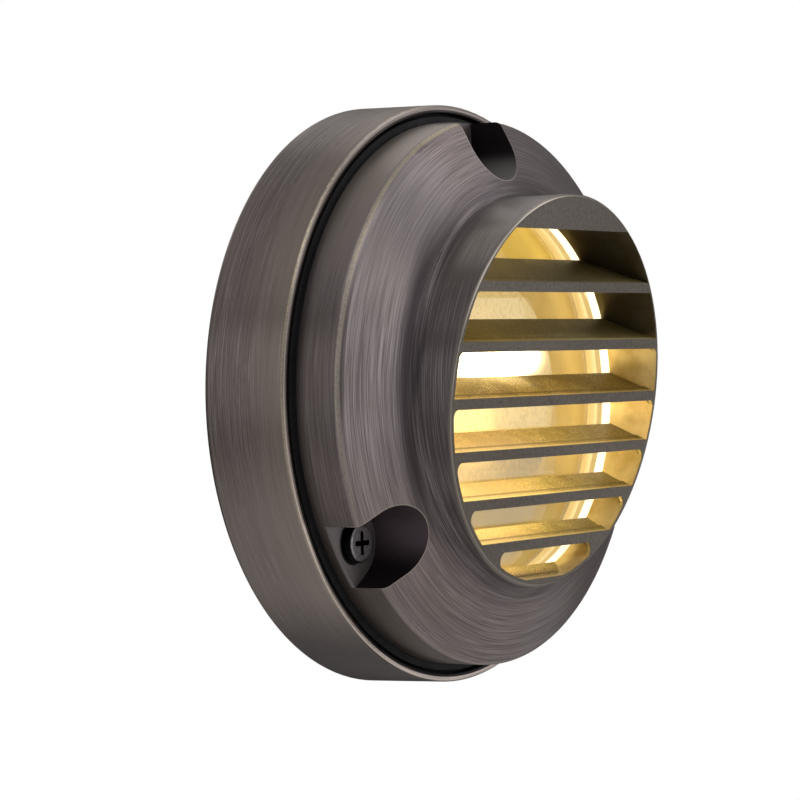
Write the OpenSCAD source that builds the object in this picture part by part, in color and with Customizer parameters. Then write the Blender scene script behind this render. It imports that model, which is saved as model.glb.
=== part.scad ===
// Round louvred surface wall light. A drum-shaped base is screwed to the wall and holds the
// driver, the terminal block and the light engine. A domed cover with a slanted, louvred nose
// carries the lens and closes on a gasket with three screws.
// Millimetres. The wall is the plane y = 0, the light faces -Y and +Z is up.
// Modules are drawn with x to the right, y up and z away from the wall, then stood up.

/* [Base] */
// Outer diameter of the base at its front rim
base_d = 120; // [116:1:126]
// Distance from the wall to the base's rim
base_depth = 19.1; // [18.5:0.1:23]
// Extra radius of the base at the wall
base_draft = 0.5; // [0:0.1:1]
// Thickness of the base's back plate
back_plate = 4; // [3.6:0.1:4.4]
// Wall of the rim round the cover gasket
rim_wall = 1.6; // [1.2:0.1:2]
// Height of the rim over the gasket seat
rim_h = 2.1; // [1.8:0.1:2.4]

/* [Wall fixing] */
// Distance between the two wall slots
slot_spacing = 70; // [66:1:72]
// Length of a wall slot from end to end
slot_l = 12; // [8:0.5:13]
// Width of a wall slot
slot_w = 5; // [4:0.1:5.5]
// Radius of the cable passage in the grommet
cable_r = 3.5; // [2.5:0.1:4]
// Thickness of the foam gasket against the wall
wall_gasket_t = 2; // [1.5:0.1:2.4]

/* [Cover] */
// Thickness of the cover gasket between base and cover
gasket_t = 2.5; // [2.3:0.1:2.8]
// Width of the groove between rim and cover
groove_w = 2.2; // [1.8:0.1:2.6]
// Height of the skirt up to the dome
skirt_h = 10; // [9.5:0.1:11]
// Radius of the dome
dome_r = 118; // [110:1:130]
// Rounding of the shoulder between skirt and dome
shoulder_r = 2; // [1:0.1:3]
// Wall of the casting
cover_wall = 3; // [2.5:0.1:3.5]

/* [Cover screws] */
// Turn of the first screw from the right-hand side, a little past upright
screw_start = 94; // [90:1:98]
// Distance of a screw's axis inside the skirt
screw_inset = 5.2; // [4.9:0.1:5.4]
// Radius of a screw pocket's round end
pocket_end_r = 7.5; // [7:0.1:7.7]
// Thickness of a pocket's floor
pocket_floor = 2.7; // [2.4:0.1:3]
// Radius of the screw's thread
thread_r = 2; // [1.8:0.05:2.1]
// Length of the screw under its head
shank_l = 15; // [12:0.5:15.5]
// Radius of the screw head
head_r = 3.9; // [3.5:0.1:4.1]
// Height of the screw head
head_h = 2.2; // [1.8:0.1:2.6]

/* [Nose] */
// Outer diameter of the nose
nose_d = 80; // [78:1:81]
// Wall of the nose at its lip
nose_wall = 1.6; // [1.4:0.1:2]
// Chamfer round the outer edge of the nose's slanted front
nose_edge = 0.5; // [0.3:0.05:0.5]
// Draft of the bore inside the nose, opening towards the lip
nose_draft = 3.5; // [2:0.5:3.5]
// Distance from the cover's seat to the middle of the slanted front
nose_rise = 25.4; // [24.5:0.1:28]
// Slant of the front, with the top further out
nose_slant = 7.2; // [5:0.1:8]
// Rounding between dome and nose
neck_r = 2.5; // [1.5:0.1:3]

/* [Louvre] */
// Number of louvre bars
bar_count = 6; // [4:1:6]
// Height of the first bar's lower edge over the middle
first_bar = 20.1; // [19:0.1:21]
// Distance from the first bar to the second
first_pitch = 11.8; // [11:0.1:12]
// How much closer each next bar stands
pitch_step = 0.7; // [0.5:0.1:1]
// Thickness of a bar
bar_t = 2; // [1.5:0.1:2.4]
// Slope of the bars, down towards the front
bar_slope = 23; // [15:1:26]
// Width of the raised lip along a bar's front
bar_lip_w = 2.2; // [1:0.1:3]
// Height of that lip over the bar's top
bar_lip_h = 0.25; // [0.1:0.05:0.4]
// Height of the header's lower edge over the middle
header_edge = 32.7; // [31.5:0.1:34]
// Thickness of the header
header_t = 2.1; // [1.6:0.1:3]
// Rounding of the upper corners of each slot
slot_corner_r = 1.8; // [1:0.1:2.2]

/* [Lens] */
// Distance from the cover's seat to the lens stop
stop_rise = 14.7; // [14.2:0.1:15]
// Thickness of the lens
lens_t = 3; // [2.8:0.1:3.3]
// Thickness of the silicone seal in front of the lens
lens_seal_t = 2; // [1.8:0.1:2.2]
// Width of the seal's and lens's edge past the nose's bore
lens_land = 2.3; // [2:0.1:2.4]
// Thickness of the lens ring
lens_ring_t = 2.4; // [2:0.1:2.6]

/* [Light engine] */
// Thickness of the heat-sink plate
sink_t = 3; // [2.6:0.1:3.4]
// How far the heat-sink plate stands past the gasket seat
sink_proud = 2; // [1.8:0.1:2.2]
// Height of the heat sink's raised middle
spigot_h = 1.5; // [1.3:0.1:1.6]
// Thickness of the heat-conducting pad
pad_t = 0.5; // [0.3:0.1:0.6]
// Thickness of the circuit board
board_t = 1.6; // [1:0.1:1.8]
// Number of light-emitting diodes in the outer ring
led_ring_count = 12; // [8:1:16]
// Radius of the ring of light-emitting diodes
led_ring_r = 16; // [14:0.5:18]
// Outer radius of the opal cap
cap_r = 23.4; // [22.8:0.1:23.6]
// Wall of the opal cap
cap_wall = 1.2; // [1:0.1:1.5]
// Wall of the reflector
reflector_wall = 0.9; // [0.7:0.1:1.1]
// Distance from the heat-sink plate to the reflector's floor
reflector_floor_rise = 5.2; // [5:0.1:5.4]
// Thickness of the reflector's floor
reflector_floor_t = 0.8; // [0.6:0.1:1]
// How much the reflector's floor rises outwards as a dish
dish_rise = 1.3; // [0.5:0.1:1.4]

/* [Driver and wiring] */
// Length of the driver case
driver_l = 42; // [36:1:44]
// Width of the driver case
driver_w = 24; // [20:0.5:25]
// Height of the driver case
driver_h = 9; // [7:0.5:9.5]
// Length of the terminal block
terminal_l = 20; // [18:0.5:24]
// Width of the terminal block
terminal_w = 12; // [10:0.5:13]
// Height of the terminal block
terminal_h = 9; // [8:0.5:10]
// Radius of a lead
lead_r = 0.9; // [0.7:0.05:1]

/* [Hidden] */
$fn = 96;

// Overrun of every cut, and clearances between pieces
over = 1;
running_gap = 0.05;
loose_gap = 0.3;
fit_gap = 0.1;
// Cover screws, and the turn from one to the next
screw_count = 3;
screw_step = 360 / screw_count;

// Colours, as the photograph shows them
bronze = "#6a5f58";
gold = "#d9a94e";
black = "#1b1b1d";
steel = "#9a9c9e";
brass = "#b08d4a";
pale = "#e9e6dc";
white = "#f6f4ee";
silver = "#b9bcc0";

// Levels, measured out from the wall
seat = base_depth - rim_h;
cover_seat = seat + gasket_t;
pocket_level = cover_seat + pocket_floor;
lens_stop = cover_seat + stop_rise;
lens_front = lens_stop - lens_seal_t;
lens_back = lens_front - lens_t;
ring_back = lens_back - lens_ring_t;
nose_mid = cover_seat + nose_rise;
sink_front = seat + sink_proud;
sink_back = sink_front - sink_t;
spigot_front = sink_front + spigot_h;
board_back = spigot_front + pad_t;
board_front = board_back + board_t;

// Radii
base_r = base_d / 2;
rim_r = base_r - rim_wall;
cover_r = rim_r - groove_w;
screw_circle = cover_r - screw_inset;
nose_r = nose_d / 2;
bore_r = nose_r - nose_wall;
lens_r = bore_r + lens_land;
lens_pocket_r = lens_r + loose_gap;
clearance_r = thread_r + loose_gap;
tapped_r = thread_r + running_gap;

// Base
base_edge_r = 1.2;
rim_edge_r = 0.4;
boss_wall = 2.6;
boss_r = tapped_r + boss_wall;
seat_margin = 0.6;
cavity_r = cover_r - cover_wall - seat_margin;
wall_gasket_w = 6;
wall_gasket_inset = 4;
wall_gasket_r = base_r - wall_gasket_inset;
// The screw's hole stops this far past the screw's tip
blind_end = 1.2;
post_inset = 3.4;
post_circle = bore_r - post_inset;
post_r = 4.2;
// A pan head: crown rounding, depth of the cross, and width and reach of its arms
crown_share = 0.3;
recess_share = 0.45;
arm_width_share = 0.26;
arm_reach_share = 0.6;
eye_share = 0.2;
tip_share = 0.5;
recess_turn = 56;

// Grommet: lips either side of the back plate, the rear one sunk into it
grommet_neck_r = 6.3;
grommet_lip_r = 8.5;
grommet_lip_t = 1.6;
grommet_front_lip_t = 2;

// Cover gasket
gasket_lip_drop = 0.7;
gasket_gap = 0.8;
gasket_hole_r = thread_r + loose_gap;

// Cover
pocket_wall = 2;
seal_reach = 0.5;
seal_seat_r = head_r + seal_reach;
seal_t = 0.5;
nose_top = nose_mid + nose_r * tan(nose_slant) + over;
dome_centre = cover_seat + skirt_h - sqrt(dome_r * dome_r - cover_r * cover_r);
shoulder_level = dome_centre + sqrt(pow(dome_r - shoulder_r, 2) - pow(cover_r - shoulder_r, 2));
neck_level = dome_centre + sqrt(pow(dome_r + neck_r, 2) - pow(nose_r + neck_r, 2));
lens_edge_share = 0.1;
ring_screw_r = 1.2;
ring_screw_l = 4.2;
ear_r = 3;
ear_circle = lens_pocket_r + 2 * ring_screw_r;
ear_face_r = ear_circle + ear_r + 2 * loose_gap;
skirt_inside = cover_r - cover_wall;
ceiling_level = dome_centre + sqrt(pow(dome_r - cover_wall, 2) - pow(skirt_inside, 2));

// Louvre
// The louvre's ends run into the nose's wall and stop this far under its skin
louvre_cover = 0.3;
louvre_r = nose_r - louvre_cover;
bar_set_back = 0.4;
bar_back = lens_stop + bar_set_back;
slant = tan(nose_slant);
fall = tan(bar_slope);
corner_depth = 1.2;
// A corner's arc runs this far into the nose's wall and into the bar
corner_bite = 0.1;

// Light engine
engine_gap = 0.5;
sink_r = screw_circle - pocket_end_r - pocket_wall - engine_gap;
spigot_r = bore_r - fit_gap;
sink_screw_r = 1.5;
sink_head_r = 2.75;
sink_head_h = 1.8;
sink_screw_l = 10;
sink_head_land = 0.2;
sink_screw_level = spigot_front - sink_head_land - sink_head_h;
board_r = post_circle - sink_head_r - sink_head_land * 2;
board_screw_r = 1.2;
board_head_r = 2.3;
board_head_h = 1.3;
board_screw_l = 4;
board_edge = 2.7;
board_circle = board_r - board_edge;
led_l = 3.5;
led_w = 2.8;
led_t = 0.8;
led_inner_r = 6;
led_inner_count = 4;
cap_crown = 1.1;
cap_clear = 1;
cap_front = lens_back - cap_clear;
lead_hole_r = 2.6;
lead_place = 21;

// Driver, terminal block and leads
driver_up = 25;
driver_wall = 1.2;
driver_pad_t = 0.8;
driver_corner_r = 1.8;
potting_drop = 0.8;
terminal_down = 21;
terminal_screw_r = 1.4;
terminal_screw_l = 5;
terminal_pitch = 7;
terminal_tower_r = 2.8;
terminal_tower_h = 2;
terminal_corner_r = 1;
terminal_screw_sunk = 0.5;
terminal_recess_share = 0.17;
terminal_fix_r = 1.4;
terminal_fix_l = 7.4;
terminal_fix_head_r = 2.4;
terminal_fix_head_h = 1.4;
terminal_body_h = terminal_h - terminal_tower_h;
terminal_fix_level = back_plate + terminal_body_h - terminal_fix_head_h;
// The fixing screw's hole stops this far past its tip, short of the wall face
terminal_blind_end = 0.5;
lead_level = back_plate + driver_pad_t + driver_h / 2;
lead_spacing = 2.1;
lead_bend_r = 5;
lead_strip = 1.2;

// Stands a piece drawn away from the wall up into its place
module stand() {
    rotate([90, 0, 0]) children();
}

// Puts a child at a turn and a radius round the axis, its x axis pointing outwards
module around(angle, radius) {
    rotate([0, 0, angle]) translate([radius, 0, 0]) children();
}

module at_screws() {
    for (i = [0 : screw_count - 1]) around(screw_start + screw_step * i, screw_circle) children();
}

module between_screws(radius) {
    for (i = [0 : screw_count - 1]) around(screw_start + screw_step * (i + 1 / 2), radius) children();
}

// The sharp corner outside a rounding of radius r at x, y, for a solid on the side away from sx, sy
module corner_off(x, y, r, sx, sy) {
    translate([x - sx * r, y - sy * r]) difference() {
        translate([sx > 0 ? 0 : -r - over, sy > 0 ? 0 : -r - over]) square(r + over);
        circle(r);
    }
}

// A ring between two radii and two levels
module ring(inner, outer, low, high) {
    translate([0, 0, low]) difference() {
        cylinder(h = high - low, r = outer);
        translate([0, 0, -over]) cylinder(h = high - low + 2 * over, r = inner);
    }
}

module rod(r, low, high) {
    translate([0, 0, low]) cylinder(h = high - low, r = r);
}

// A pan head with a cross recess over a plain shank, its seat at z = 0
module pan_screw(shank, length, head, height) {
    crown = height * crown_share;
    arm_w = head * arm_width_share;
    arm_l = head * arm_reach_share;
    eye = head * eye_share;
    difference() {
        union() {
            rotate_extrude() difference() {
                square([head, height]);
                corner_off(head, height, crown, 1, 1);
            }
            translate([0, 0, -length]) cylinder(h = length + running_gap, r = shank);
        }
        translate([0, 0, height * recess_share]) rotate([0, 0, recess_turn])
            linear_extrude(height = height) union() {
                square([2 * arm_l, arm_w], center = true);
                square([arm_w, 2 * arm_l], center = true);
                rotate(45) square(2 * eye, center = true);
            }
        translate([0, 0, -length - over]) difference() {
            cylinder(h = shank + over, r = shank + over);
            cylinder(h = shank + over, r1 = shank * tip_share, r2 = shank + fit_gap);
        }
    }
}

module base_profile() {
    difference() {
        polygon([[0, 0], [base_r + base_draft, 0], [base_r, base_depth], [0, base_depth]]);
        translate([0, seat]) square([rim_r, rim_h + over]);
        translate([wall_gasket_r - wall_gasket_w, -over]) square([wall_gasket_w, wall_gasket_t + over]);
        corner_off(base_r + base_draft * (1 - base_edge_r / base_depth), 0, base_edge_r, 1, -1);
        corner_off(base_r, base_depth, rim_edge_r, 1, 1);
    }
}

// A round hollow that leaves the bosses round the cover screws standing
module inside_bosses(hollow_r, leave_r, low, high) {
    difference() {
        rod(hollow_r, low, high);
        at_screws() rod(leave_r, low - over, high + over);
    }
}

module wall_slot() {
    translate([0, 0, -over]) {
        for (side = [-1, 1]) translate([side * (slot_l - slot_w) / 2, 0, 0])
            cylinder(h = back_plate + 2 * over, r = slot_w / 2);
        translate([-(slot_l - slot_w) / 2, -slot_w / 2, 0])
            cube([slot_l - slot_w, slot_w, back_plate + 2 * over]);
    }
}

module mounting_base() {
    color(bronze) stand() difference() {
        union() {
            difference() {
                rotate_extrude($fn = 180) base_profile();
                inside_bosses(cavity_r, boss_r, back_plate, seat + over);
            }
            between_screws(post_circle) rod(post_r, back_plate - fit_gap, sink_back);
        }
        at_screws() rod(tapped_r, pocket_level - shank_l - blind_end, seat + over);
        between_screws(post_circle)
            rod(sink_screw_r + running_gap, sink_screw_level - sink_screw_l - blind_end, sink_back + over);
        for (side = [-1, 1]) translate([side * slot_spacing / 2, 0, 0]) wall_slot();
        rod(grommet_neck_r, -over, back_plate + over);
        rod(grommet_lip_r, -over, grommet_lip_t);
        translate([0, -terminal_down, 0])
            rod(terminal_fix_r + running_gap,
                terminal_fix_level - terminal_fix_l - terminal_blind_end, back_plate + over);
    }
}

module wall_gasket() {
    color(black) stand() ring(wall_gasket_r - wall_gasket_w + fit_gap, wall_gasket_r - fit_gap,
        0, wall_gasket_t);
}

module cable_grommet() {
    color(black) stand() rotate_extrude() difference() {
        union() {
            square([grommet_lip_r - fit_gap, grommet_lip_t]);
            square([grommet_neck_r - fit_gap, back_plate + fit_gap]);
            translate([0, back_plate]) square([grommet_lip_r, grommet_front_lip_t]);
        }
        translate([0, -over]) square([cable_r, back_plate + grommet_front_lip_t + 2 * over]);
        corner_off(grommet_lip_r, back_plate + grommet_front_lip_t, grommet_front_lip_t / 2, 1, 1);
    }
}

// A flat ring with an eye round each screw, its outer edge lying lower in the groove round the cover
module cover_gasket() {
    color(black) stand() difference() {
        rotate_extrude($fn = 180) difference() {
            translate([0, seat]) square([rim_r - gasket_gap, gasket_t]);
            translate([cover_r + fit_gap, cover_seat - gasket_lip_drop]) square([groove_w, gasket_t]);
        }
        inside_bosses(cavity_r + fit_gap, boss_r - fit_gap, seat - over, cover_seat + over);
        at_screws() rod(gasket_hole_r, seat - over, cover_seat + over);
    }
}

module driver_pad() {
    color(black) stand()
        translate([-driver_l / 2 + driver_wall, driver_up - driver_w / 2 + driver_wall, back_plate])
        cube([driver_l - 2 * driver_wall, driver_w - 2 * driver_wall, driver_pad_t]);
}

// Rounded slab with its low corner at x, y
module soft_slab(x, y, length, width, low, high, r) {
    translate([x, y, low]) {
        for (i = [0, 1], j = [0, 1])
            translate([r + i * (length - 2 * r), r + j * (width - 2 * r), 0]) cylinder(h = high - low, r = r);
        translate([r, 0, 0]) cube([length - 2 * r, width, high - low]);
        translate([0, r, 0]) cube([length, width - 2 * r, high - low]);
    }
}

module driver_case() {
    low = back_plate + driver_pad_t;
    color(black) stand() difference() {
        soft_slab(-driver_l / 2, driver_up - driver_w / 2, driver_l, driver_w, low, low + driver_h,
            driver_corner_r);
        translate([-driver_l / 2 + driver_wall, driver_up - driver_w / 2 + driver_wall, low + driver_wall])
            cube([driver_l - 2 * driver_wall, driver_w - 2 * driver_wall, driver_h]);
        for (k = [0, 1]) translate([lead_column(k), driver_up - driver_w / 2 - over, lead_level])
            rotate([-90, 0, 0]) cylinder(h = driver_wall + 2 * over, r = lead_r + running_gap);
    }
}

// Distance of an input lead's straight stretch from the middle
function lead_column(k) = terminal_l / 2 + lead_strip + lead_bend_r + k * lead_spacing;

module driver_potting() {
    low = back_plate + driver_pad_t + driver_wall;
    high = back_plate + driver_pad_t + driver_h - potting_drop;
    color("#2b2a28") stand() difference() {
        translate([-driver_l / 2 + driver_wall, driver_up - driver_w / 2 + driver_wall, low])
            cube([driver_l - 2 * driver_wall, driver_w - 2 * driver_wall, high - low]);
        for (side = [-1, 1]) translate([side * lead_spacing / 2, lead_place, 0])
            rod(lead_r, high - lead_strip, high + over);
    }
}

module terminal_block() {
    low = back_plate;
    color(pale) stand() difference() {
        union() {
            soft_slab(-terminal_l / 2, -terminal_down - terminal_w / 2, terminal_l, terminal_w,
                low, low + terminal_body_h, terminal_corner_r);
            for (side = [-1, 1]) translate([side * terminal_pitch, -terminal_down, 0])
                rod(terminal_tower_r, low, low + terminal_h);
        }
        for (side = [-1, 1]) translate([side * terminal_pitch, -terminal_down, 0])
            rod(terminal_screw_r, low + terminal_h - terminal_screw_l - fit_gap, low + terminal_h + over);
        translate([0, -terminal_down, 0]) {
            rod(terminal_fix_r + running_gap, low - over, low + terminal_h);
            rod(terminal_fix_head_r + fit_gap, terminal_fix_level, low + terminal_h);
        }
        for (k = [0, 1]) translate([terminal_l / 2 - lead_strip, lead_row(k), lead_level])
            rotate([0, 90, 0]) cylinder(h = lead_strip + over, r = lead_r);
    }
}

// Height of an input lead where it leaves the terminal block
function lead_row(k) = -terminal_down + lead_spacing / 2 - k * lead_spacing;

module terminal_screws() {
    color(brass) stand() for (side = [-1, 1])
        translate([side * terminal_pitch, -terminal_down, back_plate + terminal_h - terminal_screw_l])
            difference() {
                cylinder(h = terminal_screw_l - terminal_screw_sunk, r = terminal_screw_r);
                translate([-terminal_screw_r - over, -terminal_screw_r * terminal_recess_share,
                    terminal_screw_l - terminal_screw_sunk - terminal_screw_r / 2])
                    cube([2 * (terminal_screw_r + over), 2 * terminal_screw_r * terminal_recess_share,
                        terminal_screw_r]);
            }
}

module terminal_fixing_screw() {
    color(steel) stand() translate([0, -terminal_down, terminal_fix_level])
        pan_screw(terminal_fix_r, terminal_fix_l, terminal_fix_head_r, terminal_fix_head_h);
}

// Two leads leave the terminal block sideways, turn up and run into the driver case
module input_lead() {
    rise = driver_up - driver_w / 2 + driver_wall;
    color(black) stand() for (k = [0, 1]) translate([0, 0, lead_level]) {
        bend = lead_bend_r + k * lead_spacing;
        translate([terminal_l / 2 - lead_strip, lead_row(k), 0])
            rotate([0, 90, 0]) cylinder(h = 2 * lead_strip, r = lead_r);
        translate([terminal_l / 2 + lead_strip, lead_row(k) + bend, 0])
            rotate([0, 0, -90]) rotate_extrude(angle = 90) translate([bend, 0]) circle(lead_r);
        translate([lead_column(k), lead_row(k) + bend, 0])
            rotate([-90, 0, 0]) cylinder(h = rise - lead_row(k) - bend, r = lead_r);
    }
}

// Two leads rise from the potting through the heat sink and the board
module led_lead() {
    low = back_plate + driver_pad_t + driver_h - potting_drop - lead_strip;
    color("#b3362c") stand() for (side = [-1, 1])
        translate([side * lead_spacing / 2, lead_place, 0]) rod(lead_r, low, board_front + lead_strip / 2);
}

module heat_sink() {
    color(silver) stand() difference() {
        union() {
            rod(sink_r, sink_back, sink_front);
            rod(spigot_r, sink_front - fit_gap, spigot_front);
        }
        between_screws(post_circle) {
            rod(sink_screw_r + fit_gap, sink_back - over, spigot_front + over);
            rod(sink_head_r + fit_gap, sink_screw_level, spigot_front + over);
        }
        between_screws(board_circle)
            rod(board_screw_r + running_gap, board_front - board_screw_l - blind_end, spigot_front + over);
        translate([0, lead_place, 0]) rod(lead_hole_r, sink_back - over, spigot_front + over);
    }
}

module sink_screws() {
    color(steel) stand() between_screws(post_circle) translate([0, 0, sink_screw_level])
        pan_screw(sink_screw_r, sink_screw_l, sink_head_r, sink_head_h);
}

module thermal_pad() {
    color("#8fa6b5") stand() difference() {
        rod(board_r, spigot_front, board_back);
        between_screws(board_circle) rod(board_screw_r + loose_gap, spigot_front - over, board_back + over);
        translate([0, lead_place, 0]) rod(lead_hole_r, spigot_front - over, board_back + over);
    }
}

module led_board() {
    color(white) stand() difference() {
        rod(board_r, board_back, board_front);
        between_screws(board_circle) rod(board_screw_r + fit_gap, board_back - over, board_front + over);
        translate([0, lead_place, 0]) rod(lead_hole_r, board_back - over, board_front + over);
    }
}

module leds() {
    color("#f3d25c") stand() {
        for (i = [0 : led_ring_count - 1]) around(360 * (i + 0.5) / led_ring_count, led_ring_r)
            translate([-led_w / 2, -led_l / 2, board_front]) cube([led_w, led_l, led_t]);
        for (i = [0 : led_inner_count - 1]) around(360 * i / led_inner_count, led_inner_r)
            translate([-led_w / 2, -led_l / 2, board_front]) cube([led_w, led_l, led_t]);
    }
}

module board_screws() {
    color(steel) stand() between_screws(board_circle) translate([0, 0, board_front])
        pan_screw(board_screw_r, board_screw_l, board_head_r, board_head_h);
}

module led_diffuser() {
    crown_r = (cap_r * cap_r + cap_crown * cap_crown) / (2 * cap_crown);
    color(white) stand() rotate_extrude($fn = 120) difference() {
        intersection() {
            translate([0, board_front]) square([cap_r, cap_front - board_front]);
            translate([0, cap_front - crown_r]) circle(crown_r);
        }
        intersection() {
            translate([0, board_front - over]) square([cap_r - cap_wall, cap_front - board_front]);
            translate([0, cap_front - crown_r]) circle(crown_r - cap_wall);
        }
    }
}

module reflector() {
    floor_low = sink_front + reflector_floor_rise;
    color(gold) stand() rotate_extrude($fn = 180) {
        translate([bore_r, sink_front])
            square([reflector_wall, ring_back - loose_gap - sink_front]);
        polygon([[cap_r + loose_gap, floor_low], [bore_r + fit_gap, floor_low + dish_rise],
            [bore_r + fit_gap, floor_low + dish_rise + reflector_floor_t],
            [cap_r + loose_gap, floor_low + reflector_floor_t]]);
    }
}

// The cover's outline from the axis to its skin: skirt, dome, neck and nose
module cover_outline() {
    shoulder = [cover_r - shoulder_r, shoulder_level];
    neck = [nose_r + neck_r, neck_level];
    dome_dir = [shoulder[0], shoulder[1] - dome_centre] / (dome_r - shoulder_r);
    neck_dir = [neck[0], neck[1] - dome_centre] / (dome_r + neck_r);
    difference() {
        intersection() {
            translate([0, cover_seat]) square([cover_r, nose_top - cover_seat]);
            translate([0, dome_centre]) circle(dome_r, $fn = 360);
        }
        difference() {
            polygon([shoulder, shoulder + [cover_r, 0], shoulder + [cover_r, cover_r],
                shoulder + dome_dir * cover_r]);
            translate(shoulder) circle(shoulder_r);
        }
    }
    difference() {
        polygon([neck, [nose_r - over, neck[1]], [nose_r - over, cover_seat + skirt_h],
            [0, dome_centre] + neck_dir * (dome_r - over), neck]);
        translate(neck) circle(neck_r);
    }
    translate([0, cover_seat]) square([nose_r, nose_top - cover_seat]);
}

// Radius of the nose's bore at a level, opening towards the lip
function bore_at(level) = bore_r + (level - lens_stop) * tan(nose_draft);

// The hollow inside the cover: wide behind the dome, stepped for ring and lens, drafted in the nose
module cover_hollow() {
    polygon([[0, cover_seat - over], [skirt_inside, cover_seat - over], [skirt_inside, ceiling_level],
        [ear_face_r, lens_back], [lens_pocket_r, lens_back], [lens_pocket_r, lens_stop],
        [bore_r, lens_stop], [bore_at(nose_top + over), nose_top + over], [0, nose_top + over]]);
}

// A pocket: round at its inner end and open through the skirt
module pocket(r, low) {
    translate([0, 0, low]) {
        cylinder(h = nose_top - low, r = r);
        translate([0, -r, 0]) cube([cover_r, 2 * r, nose_top - low]);
    }
}

// Height of a bar's lower front edge, the bars closing up downwards
function bar_height(i) = first_bar - i * first_pitch + pitch_step * i * (i - 1) / 2;

// Distance from the wall to the slanted front at a height
function front_at(height) = nose_mid + slant * height;

// One bar as a sloping slab across the nose, lipped along its front and run past the slant
module louvre_bar(height) {
    front = front_at(height);
    rise = bar_t / cos(bar_slope);
    step = height + rise + bar_lip_w * fall;
    rotate([90, 0, 90]) linear_extrude(height = nose_d, center = true)
        polygon([[height + (front - bar_back) * fall, bar_back],
            [height + (front - bar_back) * fall + rise - bar_lip_h, bar_back],
            [step - bar_lip_h, front - bar_lip_w],
            [step, front - bar_lip_w],
            [height + rise - over * fall, front + over],
            [height - over * fall, front + over]]);
}

// The sloping floor under the last slot, solid down to the nose's wall
module sill() {
    height = bar_height(bar_count);
    front = front_at(height);
    rise = bar_t / cos(bar_slope);
    rotate([90, 0, 90]) linear_extrude(height = nose_d, center = true)
        polygon([[-nose_r, bar_back],
            [height + rise + (front - bar_back) * fall, bar_back],
            [height + rise - over * fall, front + over],
            [-nose_r, front + over]]);
}

// Web at the front that rounds the upper corner of a slot against the nose's wall
module slot_corner(height) {
    r = slot_corner_r;
    wall_r = bore_at(front_at(height));
    reach = wall_r - r + corner_bite;
    drop = height - r + corner_bite;
    outward = [sqrt(reach * reach - drop * drop), drop] / reach;
    centre = outward * reach;
    past = outward * (nose_r + over);
    for (side = [0, 1]) mirror([side, 0, 0])
        translate([0, 0, front_at(height) - corner_depth])
            linear_extrude(height = corner_depth + over) intersection() {
                circle(louvre_r);
                difference() {
                    polygon([centre, [centre[0], height + bar_t / 2], [nose_r, height + bar_t / 2],
                        [nose_r, past[1]], past]);
                    translate(centre) circle(r, $fn = 48);
                }
            }
}

module header() {
    translate([0, 0, nose_mid]) rotate([nose_slant, 0, 0])
        translate([-nose_r, header_edge / cos(nose_slant), -header_t])
            cube([nose_d, nose_r, header_t + over]);
}

module louvre() {
    intersection() {
        rod(louvre_r, bar_back, nose_top);
        union() {
            for (i = [0 : bar_count - 1]) louvre_bar(bar_height(i));
            header();
            sill();
        }
    }
    slot_corner(header_edge);
    for (i = [0 : bar_count - 1]) slot_corner(bar_height(i));
}

// What a chamfer takes off the outer edge of the slanted front, run out past the nose
module lip_off() {
    outer = (nose_r + nose_r / cos(nose_slant)) / 2;
    rotate_extrude($fn = 180) polygon([[outer - nose_edge, 0], [outer + over, -nose_edge - over],
        [cover_r, -nose_edge - over], [cover_r, over], [outer - nose_edge, over]]);
}

// The shell of the cover, with a solid well left round each screw pocket
module cover_body() {
    difference() {
        rotate_extrude($fn = 180) cover_outline();
        difference() {
            rotate_extrude($fn = 180) cover_hollow();
            at_screws() pocket(pocket_end_r + pocket_wall, cover_seat - 2 * over);
        }
    }
}

module front_cover() {
    color(bronze) stand() difference() {
        union() {
            cover_body();
            louvre();
        }
        translate([0, 0, nose_mid]) rotate([nose_slant, 0, 0])
            union() {
                translate([-cover_r, -cover_r, 0]) cube([2 * cover_r, 2 * cover_r, nose_top]);
                lip_off();
            }
        at_screws() {
            pocket(pocket_end_r, pocket_level);
            rod(clearance_r, cover_seat - over, nose_top);
            rod(seal_seat_r, pocket_level - seal_t, nose_top);
        }
        between_screws(ear_circle) rod(ring_screw_r + running_gap, lens_back - over,
            lens_back + ring_screw_l - lens_ring_t + blind_end);
    }
}

module lens_seal() {
    color(white) stand() ring(bore_r, lens_r, lens_front, lens_stop);
}

module lens() {
    edge = lens_t * lens_edge_share;
    color([0.9, 0.95, 1, 0.35]) stand() rotate_extrude($fn = 180)
        polygon([[0, lens_back], [lens_r - edge, lens_back], [lens_r, lens_back + edge],
            [lens_r, lens_front - edge], [lens_r - edge, lens_front], [0, lens_front]]);
}

module lens_ring() {
    ear_root = (bore_r + lens_r) / 2;
    color(gold) stand() difference() {
        union() {
            rod(lens_r, ring_back, lens_back);
            between_screws(ear_circle) rod(ear_r, ring_back, lens_back);
            between_screws(ear_root) translate([0, -ear_r, ring_back])
                cube([ear_circle - ear_root, 2 * ear_r, lens_ring_t]);
        }
        rod(bore_r, ring_back - over, lens_back + over);
        between_screws(ear_circle) rod(ring_screw_r + fit_gap, ring_back - over, lens_back + over);
    }
}

module lens_ring_screws() {
    color(steel) stand() between_screws(ear_circle) translate([0, 0, ring_back])
        mirror([0, 0, 1]) pan_screw(ring_screw_r, ring_screw_l, board_head_r, board_head_h);
}

module screw_seals() {
    color(black) stand() at_screws()
        ring(thread_r + loose_gap, seal_seat_r - fit_gap, pocket_level - seal_t, pocket_level);
}

module cover_screw(i) {
    color(black) stand() around(screw_start + screw_step * i, screw_circle) translate([0, 0, pocket_level])
        pan_screw(thread_r, shank_l, head_r, head_h);
}

module cover_screw_1() {
    cover_screw(0);
}

module cover_screw_2() {
    cover_screw(1);
}

module cover_screw_3() {
    cover_screw(2);
}

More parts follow.
